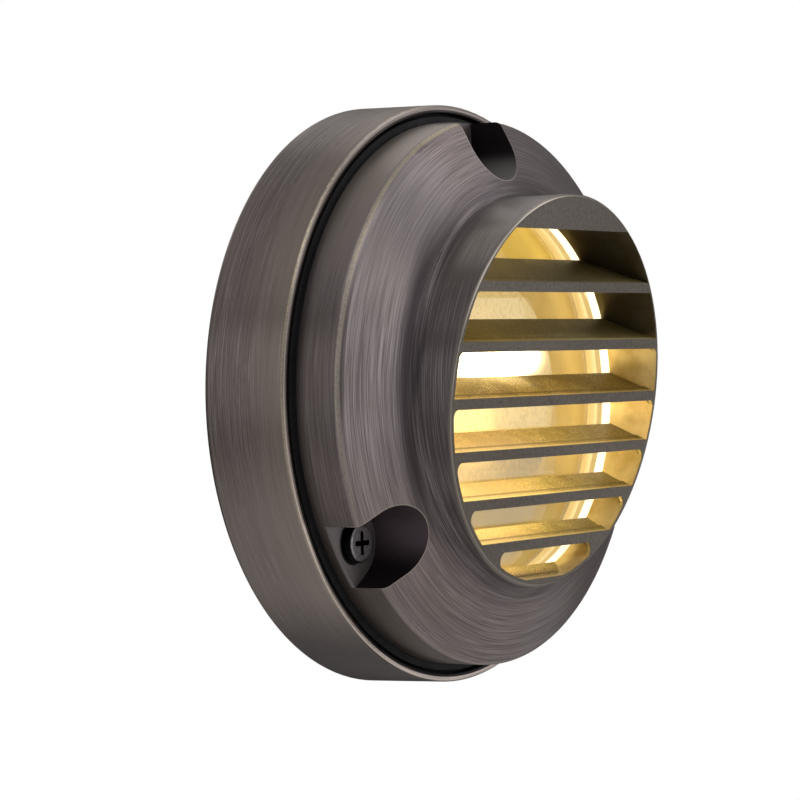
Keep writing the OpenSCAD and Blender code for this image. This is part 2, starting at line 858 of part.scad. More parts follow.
mounting_base();
wall_gasket();
cable_grommet();
cover_gasket();
driver_pad();
driver_case();
driver_potting();
terminal_block();
terminal_screws();
terminal_fixing_screw();
input_lead();
led_lead();
heat_sink();
sink_screws();
thermal_pad();
led_board();
leds();
board_screws();
led_diffuser();
reflector();
front_cover();
lens_seal();
lens();
lens_ring();
lens_ring_screws();
screw_seals();
cover_screw_1();
cover_screw_2();
cover_screw_3();
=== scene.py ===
"""Looks of a round, louvred surface wall light in brushed antique bronze, lit."""

import math
from types import SimpleNamespace

import bpy
from mathutils import Matrix, Vector

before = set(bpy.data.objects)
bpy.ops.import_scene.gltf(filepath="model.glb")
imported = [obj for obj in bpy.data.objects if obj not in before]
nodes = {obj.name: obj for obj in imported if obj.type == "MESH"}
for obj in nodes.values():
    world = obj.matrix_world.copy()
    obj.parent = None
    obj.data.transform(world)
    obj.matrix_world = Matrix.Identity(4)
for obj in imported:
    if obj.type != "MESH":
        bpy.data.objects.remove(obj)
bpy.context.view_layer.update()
MM = 0.001

# The light's own sizes and places, in metres from the axis and from the wall
RIM_R, RIM_DEPTH, RIM_W = 0.0600, 0.0191, 0.0014
COVER_R, SHOULDER_DEPTH = 0.0562, 0.0283
DOME_TOP, NOSE_FOOT, NOSE_SIDE = 0.0285, 0.0330, 0.0370
NOSE_R, BORE_R, LENS_STOP = 0.0400, 0.0384, 0.0342
NOSE_MID, NOSE_SLANT = 0.0449, math.radians(7.2)
NOSE_FRONT = NOSE_MID * math.cos(NOSE_SLANT)
BORE_DRAFT = math.tan(math.radians(3.5))
SCREW_CIRCLE, SCREW_TURNS = 0.0510, (94, 214, 334)
POCKET_R, POCKET_LEVEL = 0.0075, 0.0222
HEAD_TOP = 0.0244
# Edges that are rubbed bare and carry a painted highlight, round the axis: distance from it, depth, and
# nothing
RIM_EDGE = (RIM_R - 0.0001, RIM_DEPTH - 0.0001, 0)
SHOULDER_EDGE = (COVER_R - 0.0002, SHOULDER_DEPTH + 0.0008, 0)
# Height over which the bars keep the lamp's light from the casting, and above which its shade is painted
LAMP_CUT = 0.0085

# Where the light is seen from: the eye's place, how far it turns left from straight at the wall (a turn to
# the right is negative), how far it looks down, and its roll
EYE = (-0.5190, -0.3609, 0.0070)
EYE_TURN, EYE_DIP, EYE_ROLL = math.radians(-55.58), math.radians(0.75), math.radians(-1.44)
FOCAL_MM = 134.0

# Soft boxes: turn from straight ahead towards the right, rise and level, where 1 is white
BOX_FAR, BOX_SIDE = 0.95, 0.5
SOFT_BOXES = [
    ("rear_left_box", -150, 8, 0.2), ("left_box", -110, 8, 0.7), ("upper_left_box", -110, 45, 0.3),
    ("front_left_box", -70, 8, 0.3), ("upper_front_left_box", -30, 45, 0.7), ("front_box", 10, 8, 1.3),
    ("upper_front_box", 10, 45, 0.3), ("front_right_box", 50, 8, 0.7),
    ("upper_front_right_box", 50, 45, 0.9), ("upper_rear_right_box", 130, 45, 0.4),
    ("rear_box", 170, 30, 0.9),
]
# Small lamps for the diodes' light, straight ahead of the cap and narrowly at the bore's right wall: place,
# aim, width, height, level, tint and beam
SMALL_LAMPS = [
    ("diode_glow", (-0.012, -0.0285, -0.004), (-0.012, -0.1, -0.004), 0.020, 0.022, 150.0, "#ffe4a8", 180),
    ("lens_glow", (-0.020, -0.0300, -0.010), (0.040, -0.0440, -0.010), 0.006, 0.030, 30.0, "#ffe8b8", 50),
]
FLOOR_LEVEL, FLOOR_SIDE = -0.15, 6.0

# Short words for the nodes that come up most: kind, setting and choice
WORDS = {
    "step": ("MapRange", "interpolation_type", "SMOOTHSTEP"),
    "blend": ("Mix", "data_type", "RGBA"),
    "multiply": ("Math", "operation", "MULTIPLY"),
    "multiply_add": ("Math", "operation", "MULTIPLY_ADD"),
    "subtract": ("Math", "operation", "SUBTRACT"),
    "power": ("Math", "operation", "POWER"),
    "absolute": ("Math", "operation", "ABSOLUTE"),
    "minimum": ("Math", "operation", "MINIMUM"),
    "maximum": ("Math", "operation", "MAXIMUM"),
    "dot": ("VectorMath", "operation", "DOT_PRODUCT"),
    "length": ("VectorMath", "operation", "LENGTH"),
    "distance": ("VectorMath", "operation", "DISTANCE"),
    "normalize": ("VectorMath", "operation", "NORMALIZE"),
}


def linear(code):
    """An sRGB hex colour as linear values, with full cover."""
    parts = [int(code[i : i + 2], 16) / 255 for i in (1, 3, 5)]
    return (*[c / 12.92 if c <= 0.04045 else ((c + 0.055) / 1.055) ** 2.4 for c in parts], 1.0)


def add(tree, kind, *feeds, named=None, **settings):
    """Adds one node, of a kind or a word for one. Feeds go to its inputs in use, in turn, and named ones by
    name. A feed is a value, a hex colour, a socket to link, or a node that gives its first output in use."""
    if kind in WORDS:
        kind, setting, choice = WORDS[kind]
        settings[setting] = choice
    made = tree.nodes.new("ShaderNode" + kind)
    for key, value in settings.items():
        setattr(made, key, value)
    pairs = list(zip([socket for socket in made.inputs if socket.enabled], feeds))
    pairs += [(made.inputs[key], value) for key, value in (named or {}).items()]
    for socket, value in pairs:
        if isinstance(value, bpy.types.Node):
            value = next(output for output in value.outputs if output.enabled)
        if isinstance(value, bpy.types.NodeSocket):
            tree.links.new(value, socket)
        else:
            socket.default_value = linear(value) if isinstance(value, str) else value
    return made


def material(name):
    """A material and its tree, still empty."""
    made = bpy.data.materials.new(name)
    made.use_nodes = True
    made.node_tree.nodes.clear()
    return made, made.node_tree


def wear(name, made):
    """Gives a node's material slots this material."""
    mesh = nodes[name].data
    mesh.materials.clear()
    mesh.materials.append(made)


def turned(tree):
    """Places on a turned piece, and the directions away from its axis and round it."""
    point = add(tree, "TexCoord").outputs["Object"]
    split = add(tree, "SeparateXYZ", point).outputs
    across = add(tree, "CombineXYZ", split[0], 0.0, split[2])
    outward = add(tree, "normalize", across)
    return SimpleNamespace(
        point=point, right=split[0], depth=add(tree, "multiply", split[1], -1.0), height=split[2],
        away=add(tree, "length", across), outward=outward,
        tangent=add(tree, "VectorMath", outward, (0, 1, 0), operation="CROSS_PRODUCT"))


def brush_lines(tree, at, width, length, detail, rough):
    """Noise drawn out round the axis: lines of a width and a length on the rim, in metres."""
    split = add(tree, "SeparateXYZ", at.outward).outputs
    along = RIM_R / length
    place = add(tree, "CombineXYZ", add(tree, "multiply", at.away, 1 / width),
                add(tree, "multiply", at.depth, 1 / width), add(tree, "multiply", split[0], along))
    return add(tree, "TexNoise", noise_dimensions="4D", named={
        "Vector": place, "W": add(tree, "multiply", split[2], along), "Scale": 1.0, "Detail": detail,
        "Roughness": rough})


def antique_bronze(name, edge, edge_w, below, dark, light):
    """Brass darkened in a bath and brushed round its axis on a lathe: fine broken lines round the axis,
    highlights that fan out across them, and bare brass where an edge has been rubbed, with a painted
    highlight along it. The edge is a distance from the axis and a depth, and below is the share of the
    rubbing that is left at the bottom."""
    made, tree = material(name)
    at = turned(tree)
    # The brush's own scratches are about 0.05 mm wide, too fine to show, and are drawn 0.13 mm wide
    fine = brush_lines(tree, at, 0.13 * MM, 18 * MM, 1.0, 0.5)
    broad = brush_lines(tree, at, 1.0 * MM, 44 * MM, 3.0, 0.55)
    scratch = brush_lines(tree, at, 0.13 * MM, 12 * MM, 0.0, 0.5)
    cloud = add(tree, "TexNoise", named={"Vector": at.point, "Scale": 1 / (28 * MM), "Detail": 3.0})
    grit = add(tree, "TexNoise", named={"Vector": at.point, "Scale": 1 / (0.5 * MM), "Detail": 3.0})
    lines = add(tree, "multiply_add", fine, 0.88, add(tree, "multiply", broad, 0.12))
    colour = add(tree, "blend", add(tree, "step", lines, 0.36, 0.64), dark, light)
    colour = add(tree, "blend", add(tree, "step", cloud, 0.35, 0.7, 0.0, 0.45), colour, "#7d716b")
    colour = add(tree, "blend", add(tree, "step", scratch, 0.63, 0.72, 0.0, 0.4), colour, "#c6bab3")
    gap = add(tree, "distance", add(tree, "CombineXYZ", at.away, at.depth), edge)
    rubbed_and_highlight = add(tree, "step", gap, edge_w * 0.4, edge_w, 1.0, 0.0)
    rubbed_and_highlight = add(tree, "multiply", rubbed_and_highlight, add(tree, "step", grit, 0.35, 0.6, 0.65, 1.0))
    # More above than below: partly wear where hands reach it, partly a painted highlight where the light
    # falls from above
    rubbed_and_highlight = add(tree, "multiply", rubbed_and_highlight, add(tree, "step", at.height, -0.035, 0.03, below, 1.0))
    bare_and_highlight = add(tree, "blend", add(tree, "step", broad, 0.4, 0.6), "#cfc4b6", "#dcceb2")
    return made, tree, at, SimpleNamespace(
        colour=add(tree, "blend", rubbed_and_highlight, colour, bare_and_highlight), lines=lines, rubbed_and_highlight=rubbed_and_highlight,
        rough=add(tree, "step", lines, 0.3, 0.7, 0.44, 0.33))


def base_finish():
    """The drum, with painted light and shade: lighter towards its rim, dark underneath, and black in the
    groove inside the rim.
    """
    made, tree, at, look = antique_bronze(
        "brushed_antique_bronze_base", RIM_EDGE, 0.6 * MM, 0.6, "#706765", "#948a88")
    # Painted light: the drum drawn lighter towards its rim
    painted_light_share = add(tree, "multiply", add(tree, "step", at.depth, 0.006, RIM_DEPTH - 0.0003, 0.0, 0.55),
               add(tree, "subtract", 1.0, look.rubbed_and_highlight))
    colour = add(tree, "blend", painted_light_share, look.colour, "#a3978c")
    # Painted light below the middle, and painted shade underneath
    colour = add(tree, "blend", add(tree, "step", at.height, -0.004, -0.026, 0.0, 0.4), colour, "#b3a9a4")
    colour = add(tree, "blend", add(tree, "step", at.height, -0.036, -0.054, 0.0, 0.85), colour, "#453f41")
    # The rim's flat front: a painted highlight outside, most of all below, and painted shadow along the
    # groove
    front = add(tree, "multiply", add(tree, "step", at.depth, RIM_DEPTH - 0.0002, RIM_DEPTH - 0.0001),
                add(tree, "step", at.away, RIM_R - 0.0001, RIM_R - 0.0003))
    rim_highlight_and_shadow = add(tree, "blend", add(tree, "step", at.height, 0.02, -0.02), "#b3a9a6", "#fff2ea")
    groove_shadow_band = add(tree, "step", at.away, RIM_R - RIM_W + 0.0005, RIM_R - RIM_W + 0.0003)
    rim_highlight_and_shadow = add(tree, "blend", groove_shadow_band, rim_highlight_and_shadow, "#242022")
    brushed_front = add(tree, "multiply", front, add(tree, "step", look.lines, 0.35, 0.6, 0.5, 1.0))
    colour = add(tree, "blend", brushed_front, colour, rim_highlight_and_shadow)
    # Painted shadow: the groove's wall inside the rim drawn near black
    groove_wall_shadow = add(tree, "multiply", add(tree, "step", at.away, RIM_R - RIM_W, RIM_R - RIM_W - 0.0001),
                 add(tree, "step", at.away, COVER_R - 0.0006, COVER_R - 0.0002))
    groove_wall_shadow = add(tree, "multiply", groove_wall_shadow,
                 add(tree, "step", at.depth, RIM_DEPTH - 0.0028, RIM_DEPTH - 0.0023))
    colour = add(tree, "blend", groove_wall_shadow, colour, "#0c0b0c")
    # A rubbed edge is rounded too, and catches the light as a chamfer would
    bump = add(tree, "Bump", named={"Height": look.lines, "Strength": 0.4, "Distance": 0.008 * MM})
    chamfer = add(tree, "VectorMath", at.outward, (0, -1, 0), operation="ADD")
    bent = add(tree, "Mix", add(tree, "multiply", look.rubbed_and_highlight, 0.7), bump, chamfer, data_type="VECTOR")
    shader = add(tree, "BsdfPrincipled", named={
        "Base Color": colour, "Metallic": 1.0, "Roughness": look.rough,
        "Normal": add(tree, "normalize", bent), "Anisotropic": 0.7, "Anisotropic Rotation": 0.25,
        "Tangent": at.tangent})
    add(tree, "OutputMaterial", shader)
    return made


def louvre_casting(tree, at, behind, on_wall, speck):
    """Tones of the bars and the bore, with the lamp's light and shade painted on: sandy cast brass on the
    bars, and a wall that was machined. Behind is the distance from the slanted front, and on_wall is the
    share of the bore's wall."""
    patch = add(tree, "TexNoise", named={"Vector": at.point, "Scale": 1 / (6 * MM), "Detail": 3.0})
    cast = add(tree, "blend", add(tree, "step", speck, 0.4, 0.6), "#75642a", "#e9d490")
    cast = add(tree, "blend", add(tree, "step", patch, 0.42, 0.62, 0.0, 0.55), cast, "#94803f")
    # Painted light on the lower bars' left ends, which take more of the lamp's light than their right ones,
    # and painted shade towards the right
    painted_lit_end = add(tree, "multiply", add(tree, "step", at.height, -0.001, -0.014),
                  add(tree, "step", at.right, 0.012, -0.020, 0.0, 0.65))
    cast = add(tree, "blend", painted_lit_end, cast, "#ffe0b4")
    cast = add(tree, "blend", add(tree, "step", at.right, 0.002, 0.024, 0.0, 0.5), cast, "#66561f")
    # A bar's raised lip: a painted highlight along its edge in front, and painted shade at the foot of the
    # lip behind it
    lip_foot_shade = add(tree, "multiply", add(tree, "step", behind, 0.0013, 0.0016),
                   add(tree, "step", behind, 0.0024, 0.0020))
    cast = add(tree, "blend", add(tree, "multiply", lip_foot_shade, 0.6), cast, "#6b5622")
    lip_edge_highlight = add(tree, "step", behind, 0.0009, 0.0006)
    cast = add(tree, "blend", add(tree, "multiply", lip_edge_highlight, 0.7), cast, "#f2dc9a")
    machined = add(tree, "blend", add(tree, "step", patch, 0.35, 0.7), "#f0dca6", "#d2b878")
    cast = add(tree, "blend", on_wall, cast, machined)
    # Painted shade above the lamp's cut-off
    shade = add(tree, "blend", on_wall, "#544a26", "#1d1608")
    cut_off = add(tree, "step", at.height, LAMP_CUT, LAMP_CUT + 0.0040)
    return add(tree, "blend", add(tree, "multiply", cut_off, 0.85), cast, shade)


def nose_side(tree, at, look):
    """Tones of the nose's side: painted shade that keeps it darker than the dome, and painted light where it
    faces up.
    """
    facing_up = add(tree, "SeparateXYZ", at.outward).outputs[2]
    past_foot = add(tree, "step", at.depth, NOSE_SIDE, NOSE_SIDE + 0.0025)
    tone = add(tree, "blend", past_foot, "#5a5255", "#6a6263")
    painted_top_light = add(tree, "multiply", add(tree, "step", facing_up, 0.45, 0.8), past_foot)
    tone = add(tree, "blend", painted_top_light, tone, "#a29c96")
    # A painted sheen: a pale streak up the left shoulder of the nose
    sheen_streak = add(tree, "multiply", add(tree, "step", facing_up, 0.58, 0.72),
                 add(tree, "step", facing_up, 0.86, 0.79))
    sheen_streak = add(tree, "multiply", sheen_streak,
                 add(tree, "step", at.depth, NOSE_SIDE + 0.0020, NOSE_SIDE + 0.0045))
    tone = add(tree, "blend", add(tree, "multiply", sheen_streak, 0.8), tone, "#d0cac4")
    return add(tree, "blend", add(tree, "step", look.lines, 0.4, 0.6, 0.0, 0.6), tone, look.colour)


def screw_pockets(tree, at):
    """Places in the open pockets of the cover screws: the whole of each, the same with the edge round it, and
    its end towards the axis. A pocket is round towards the axis and open away from it."""
    found = []
    for turn in map(math.radians, SCREW_TURNS):
        right, up = math.cos(turn), math.sin(turn)
        screw_axis = (SCREW_CIRCLE * right, 0, SCREW_CIRCLE * up)
        off = add(tree, "VectorMath", at.point, screw_axis, operation="SUBTRACT")
        off = add(tree, "VectorMath", off, (1, 0, 1), operation="MULTIPLY")
        near = add(tree, "length", off)
        aside = add(tree, "absolute", add(tree, "dot", off, (up, 0, -right)))
        out_way = add(tree, "dot", off, (right, 0, up))
        open_part = add(tree, "step", out_way, 0.0, 0.0001)
        low, high = POCKET_R + 0.00001, POCKET_R + 0.00004
        in_slot = add(tree, "multiply", add(tree, "step", aside, high, low), open_part)
        whole = add(tree, "maximum", in_slot, add(tree, "step", near, high, low))
        low, high = POCKET_R + 0.00014, POCKET_R + 0.00022
        in_slot = add(tree, "multiply", add(tree, "step", aside, high, low), open_part)
        with_edge = add(tree, "maximum", add(tree, "step", near, high, low), in_slot)
        inner_end = add(tree, "multiply", whole, add(tree, "step", out_way, -0.0015, -0.0072))
        here = [whole, with_edge, inner_end]
        found = [add(tree, "maximum", *pair) for pair in zip(found, here)] if found else here
    return found


def cover_finish():
    """The same brushed bronze outside; inside the nose and on the louvre the casting keeps its grain."""
    made, tree, at, look = antique_bronze(
        "brushed_antique_bronze_cover", SHOULDER_EDGE, 0.7 * MM, 0.15, "#7a7174", "#a49a9c")
    grain = add(tree, "TexNoise", named={"Vector": at.point, "Scale": 1 / (0.6 * MM), "Detail": 4.0,
                                         "Roughness": 0.65})
    # The mould's sand, with grains of a quarter of a millimetre
    speck = add(tree, "TexNoise", named={"Vector": at.point, "Scale": 1 / (0.26 * MM), "Detail": 2.0})
    # Inside or outside of the nose, on the bore's wall, and how far behind the slanted front
    bore = add(tree, "multiply_add", at.depth, BORE_DRAFT, BORE_R - LENS_STOP * BORE_DRAFT)
    past_bore = add(tree, "subtract", at.away, bore)
    inside = add(tree, "multiply", add(tree, "step", past_bore, 0.00008, 0.00016, 1.0, 0.0),
                 add(tree, "step", at.depth, LENS_STOP - 0.0004, LENS_STOP - 0.0002))
    on_wall = add(tree, "step", past_bore, -0.0005, -0.0002)
    slant = add(tree, "dot", at.point, (0, -math.cos(NOSE_SLANT), -math.sin(NOSE_SLANT)))
    front = add(tree, "step", slant, NOSE_FRONT - 0.00012, NOSE_FRONT - 0.00004)
    behind = add(tree, "subtract", NOSE_FRONT, slant)
    # Painted highlight on the dome's upper left
    upper_left = add(tree, "dot", at.outward, (-0.74, 0, 0.67))
    upper_left_highlight = add(tree, "step", upper_left, 0.9, 0.99, 0.0, 0.22)
    outside = add(tree, "blend", upper_left_highlight, look.colour, "#c8bfc0")
    # Painted shade in the corner round the nose, strongest at mid-height, less at the top and least at the
    # bottom
    corner_shade = add(tree, "multiply", add(tree, "step", at.away, NOSE_R + 0.0068, NOSE_R + 0.0022),
                 add(tree, "step", at.depth, DOME_TOP, DOME_TOP + 0.0015))
    corner_shade = add(tree, "multiply", corner_shade, add(tree, "step", at.height, 0.022, 0.036, 0.95, 0.4))
    corner_shade = add(tree, "multiply", corner_shade, add(tree, "step", at.height, -0.040, -0.012, 0.25, 1.0))
    outside = add(tree, "blend", corner_shade, outside, "#453e42")
    on_nose = add(tree, "multiply", add(tree, "step", at.away, NOSE_R + 0.0030, NOSE_R + 0.0002),
                  add(tree, "step", at.depth, NOSE_FOOT, NOSE_FOOT + 0.0015))
    outside = add(tree, "blend", on_nose, outside, nose_side(tree, at, look))
    # The skirt under the dome's edge: painted shade, strongest below, and painted light on top
    skirt = add(tree, "multiply", add(tree, "step", at.away, COVER_R - 0.0009, COVER_R - 0.0003),
                add(tree, "step", at.depth, SHOULDER_DEPTH + 0.0004, SHOULDER_DEPTH - 0.0003))
    skirt_shade = add(tree, "multiply", skirt, add(tree, "step", at.height, -0.015, -0.035, 0.4, 0.9))
    outside = add(tree, "blend", skirt_shade, outside, "#625953")
    skirt_top_light = add(tree, "multiply", skirt, add(tree, "step", at.height, 0.022, 0.046, 0.0, 0.75))
    outside = add(tree, "blend", skirt_top_light, outside, "#c0b6ac")
    # Painted highlight: a light line along the chamfer of the nose's lip, with a thinner, brighter line most
    # of all on top
    nose_lip_highlight = add(tree, "multiply", add(tree, "step", at.away, BORE_R, BORE_R + 0.0002),
              add(tree, "step", behind, 0.0009, 0.0005))
    outside = add(tree, "blend", add(tree, "multiply", nose_lip_highlight, 0.85), outside, "#8f8780")
    thin_lip_highlight = add(tree, "multiply", nose_lip_highlight, add(tree, "step", behind, 0.00032, 0.0002))
    thin_lip_highlight = add(tree, "multiply", thin_lip_highlight, add(tree, "step", at.height, -0.002, 0.004, 0.3, 1.0))
    outside = add(tree, "blend", thin_lip_highlight, outside, "#dcd3c6")
    # The screw pockets: rubbed edges, painted shade inside with painted light on the round end, more on the
    # upper pockets, and a pale floor
    pocket, pocket_and_edge, inner_end = screw_pockets(tree, at)
    rubbed_edge = add(tree, "multiply", pocket_and_edge,
                      add(tree, "step", at.depth, SHOULDER_DEPTH - 0.003, SHOULDER_DEPTH + 0.001))
    outside = add(tree, "blend", add(tree, "multiply", rubbed_edge, 0.75), outside, "#c4b9ae")
    end_light = add(tree, "blend", add(tree, "step", at.height, 0.0, 0.03), "#5f525a", "#8f8c8a")
    pocket_shade_and_floor = add(tree, "blend", inner_end, "#241c22", end_light)
    pocket_floor = add(tree, "step", at.depth, POCKET_LEVEL + 0.0002, POCKET_LEVEL + 0.00005)
    pocket_shade_and_floor = add(tree, "blend", pocket_floor, pocket_shade_and_floor, "#928b8d")
    sunk = add(tree, "multiply", pocket,
               add(tree, "step", at.depth, POCKET_LEVEL - 0.0010, POCKET_LEVEL - 0.0006))
    outside = add(tree, "blend", sunk, outside, pocket_shade_and_floor)
    # All together: outside, louvre and bore, and the grey front of bars, header and sill
    colour = add(tree, "blend", inside, outside, louvre_casting(tree, at, behind, on_wall, speck))
    front_tone = add(tree, "blend", add(tree, "step", grain, 0.3, 0.7), "#6a645d", "#888079")
    colour = add(tree, "blend", front, colour, front_tone)
    # What the brush didn't reach is rougher, less metallic under its skin, and has the casting's relief
    unbrushed = add(tree, "maximum", add(tree, "maximum", inside, front), sunk)
    rough = add(tree, "Mix", unbrushed, look.rough, add(tree, "step", grain, 0.3, 0.7, 0.48, 0.62))
    relief = add(tree, "multiply", speck, add(tree, "step", on_wall, 0.0, 1.0, 1.0, 0.3))
    relief = add(tree, "Mix", unbrushed, add(tree, "multiply", look.lines, 0.2), relief)
    shader = add(tree, "BsdfPrincipled", named={
        "Base Color": colour, "Metallic": add(tree, "Mix", unbrushed, 1.0, 0.7), "Roughness": rough,
        "Normal": add(tree, "Bump", named={"Height": relief, "Strength": 0.5, "Distance": 0.035 * MM}),
        "Anisotropic": 0.7, "Anisotropic Rotation": 0.25, "Tangent": at.tangent})
    add(tree, "OutputMaterial", shader)
    return made


def blackened_steel():
    """Stainless steel blackened in hot salts: deep black, with a painted reflection that makes the head's
    flat face grey.
    """
    made, tree = material("black_oxide_steel")
    point = add(tree, "TexCoord").outputs["Object"]
    grain = add(tree, "TexNoise", named={"Vector": point, "Scale": 1 / (0.35 * MM), "Detail": 4.0})
    depth = add(tree, "multiply", add(tree, "SeparateXYZ", point).outputs[1], -1.0)
    facing = add(tree, "SeparateXYZ", add(tree, "NewGeometry").outputs["True Normal"]).outputs[1]
    # Painted reflection: the head's flat face drawn grey
    painted_light_share = add(tree, "multiply", add(tree, "step", add(tree, "absolute", facing), 0.6, 0.9),
               add(tree, "step", depth, HEAD_TOP - 0.0005, HEAD_TOP - 0.0002))
    grain_share = add(tree, "step", grain, 0.35, 0.65)
    black = add(tree, "blend", grain_share, "#09080a", "#1b191c")
    grey = add(tree, "blend", grain_share, "#8b8689", "#b5b0b2")
    shader = add(tree, "BsdfPrincipled", named={
        "Base Color": add(tree, "blend", painted_light_share, black, grey), "Metallic": 1.0,
        "Roughness": add(tree, "step", grain, 0.3, 0.7, 0.5, 0.38),
        "Normal": add(tree, "Bump", named={"Height": grain, "Strength": 0.5, "Distance": 0.02 * MM})})
    add(tree, "OutputMaterial", shader)
    return made


def grained(name, dark, light, grain, depth, rough, **fixed):
    """A finish with an even grain: two tones of one colour, a roughness that follows them and a slight
    relief. Grain and depth are in metres, and what is fixed goes on the shader's own sockets."""
    made, tree = material(name)
    point = add(tree, "TexCoord").outputs["Object"]
    fine = add(tree, "TexNoise", named={"Vector": point, "Scale": 1 / grain, "Detail": 4.0, "Roughness": 0.6})
    cloud = add(tree, "TexNoise", named={"Vector": point, "Scale": 1 / (grain * 12), "Detail": 2.0})
    mixed = add(tree, "multiply_add", fine, 0.65, add(tree, "multiply", cloud, 0.35))
    shader = add(tree, "BsdfPrincipled", named={
        "Base Color": add(tree, "blend", add(tree, "step", mixed, 0.35, 0.65), dark, light),
        "Roughness": add(tree, "step", mixed, 0.3, 0.7, min(rough + 0.07, 1.0), rough - 0.05),
        "Normal": add(tree, "Bump", named={"Height": fine, "Strength": 0.6, "Distance": depth}),
        **{key.replace("_", " ").title(): value for key, value in fixed.items()}})
    add(tree, "OutputMaterial", shader)
    return made


def opal_cap():
    """Opal polycarbonate over lit diodes: a hot patch in front of the strongest ones, fading to cream."""
    made, tree = material("opal_polycarbonate_lit")
    point = add(tree, "TexCoord").outputs["Object"]
    patch_up, patch_half_w, patch_half_h = 0.0075, 0.021, 0.0065
    placed = add(tree, "Mapping", named={"Vector": point, "Location": (0, 0, -patch_up / patch_half_h),
                                         "Scale": (1 / patch_half_w, 0.0, 1 / patch_half_h)})
    hot = add(tree, "step", add(tree, "length", placed), 0.6, 1.25, 1.0, 0.0)
    up = add(tree, "SeparateXYZ", point).outputs[2]
    mottle = add(tree, "TexNoise", named={"Vector": point, "Scale": 1 / (1.1 * MM), "Detail": 4.0})
    # Tan below the hot patch, darkest at the bottom, gold above it, and cream round it
    glow = add(tree, "blend", add(tree, "step", up, -0.014, -0.005), "#8f7950", "#bca272")
    glow = add(tree, "blend", add(tree, "step", up, -0.0245, -0.018), "#6f6040", glow)
    glow = add(tree, "blend", add(tree, "step", up, 0.013, 0.018), glow, "#d3b36c")
    glow = add(tree, "blend", add(tree, "step", up, -0.0125, -0.005), glow, "#f0d08c")
    glow = add(tree, "blend", add(tree, "step", mottle, 0.45, 0.65, 0.0, 0.5), glow, "#b8924e")
    glow = add(tree, "blend", hot, glow, "#ffe6b4")
    shader = add(tree, "BsdfPrincipled", named={
        "Base Color": add(tree, "blend", mottle, "#8c7a50", "#b09a68"), "Roughness": 0.4,
        "Emission Color": glow,
        "Emission Strength": add(tree, "multiply_add", add(tree, "power", hot, 3.0), 8.0, 0.75)})
    add(tree, "OutputMaterial", shader)
    return made


def glow_painted_side(tree, at):
    """Where a turned piece faces the front or the axis, where the lamp's light is painted on as a glow."""
    facing = add(tree, "NewGeometry").outputs["True Normal"]
    inward = add(tree, "dot", facing, at.outward)
    ahead = add(tree, "SeparateXYZ", facing).outputs[1]
    return add(tree, "step", add(tree, "minimum", inward, ahead), -0.05, -0.25)


def gold_dish():
    """Spun aluminium, gold anodised: warm satin metal, with the cap's light painted on as a glow, least at
    the bottom.
    """
    made, tree = material("gold_anodised_aluminium_painted_glow")
    at = turned(tree)
    fine = brush_lines(tree, at, 0.25 * MM, 30 * MM, 2.0, 0.6)
    cloud = add(tree, "TexNoise", named={"Vector": at.point, "Scale": 1 / (5 * MM), "Detail": 3.0})
    # Painted light: the cap's light drawn on the dish as a glow, dimmest at the bottom and most golden at the
    # top
    glow = add(tree, "blend", add(tree, "step", at.height, -0.024, -0.012), "#a88f5c", "#e2b869")
    glow = add(tree, "blend", add(tree, "step", at.height, 0.022, 0.03), glow, "#f4c658")
    glow = add(tree, "blend", add(tree, "step", cloud, 0.4, 0.7, 0.0, 0.35), glow, "#c99c4a")
    shader = add(tree, "BsdfPrincipled", named={
        "Base Color": add(tree, "blend", fine, "#7d6a3c", "#9c874f"), "Metallic": 1.0,
        "Roughness": add(tree, "step", fine, 0.3, 0.7, 0.46, 0.36), "Emission Color": glow,
        "Emission Strength": add(tree, "multiply", glow_painted_side(tree, at), 0.75)})
    add(tree, "OutputMaterial", shader)
    return made


def ring_with_painted_glow():
    """Bare die-cast aluminium round the lit lens: pale, with a fine skin, and the lamp's light painted on
    inside as a glow.
    """
    made, tree = material("die_cast_aluminium_painted_glow")
    at = turned(tree)
    skin = add(tree, "TexNoise", named={"Vector": at.point, "Scale": 1 / (0.5 * MM), "Detail": 4.0})
    shader = add(tree, "BsdfPrincipled", named={
        "Base Color": add(tree, "blend", skin, "#a09a84", "#bfb698"), "Metallic": 1.0,
        "Roughness": add(tree, "step", skin, 0.3, 0.7, 0.46, 0.36),
        "Normal": add(tree, "Bump", named={"Height": skin, "Strength": 0.6, "Distance": 0.03 * MM}),
        # Painted light: the lamp's light drawn on the ring as a glow where it faces the front or the axis
        "Emission Color": "#f8cf78",
        "Emission Strength": add(tree, "multiply", glow_painted_side(tree, at), 0.7)})
    add(tree, "OutputMaterial", shader)
    return made


def clear_glass():
    """Toughened glass, ground flat and polished: sharp thin reflections, and the lit cap seen through it."""
    made, tree = material("clear_toughened_glass")
    point = add(tree, "TexCoord").outputs["Object"]
    film = add(tree, "TexNoise", named={"Vector": point, "Scale": 1 / (9 * MM), "Detail": 4.0})
    glass = add(tree, "BsdfPrincipled", named={
        "Base Color": "#fbfdf9", "Roughness": add(tree, "step", film, 0.4, 0.75, 0.0, 0.05), "IOR": 1.5,
        "Transmission Weight": 1.0})
    # The lamp's light goes straight through
    clear = add(tree, "BsdfTransparent", "#f4f8f2")
    to_lamp = add(tree, "LightPath").outputs["Is Shadow Ray"]
    through = add(tree, "MixShader", to_lamp, glass, clear)
    add(tree, "OutputMaterial", through)
    return made


# Finishes, each on the pieces that have it
wear("mounting_base", base_finish())
wear("front_cover", cover_finish())
black_steel = blackened_steel()
for name in ("cover_screw_1", "cover_screw_2", "cover_screw_3"):
    wear(name, black_steel)
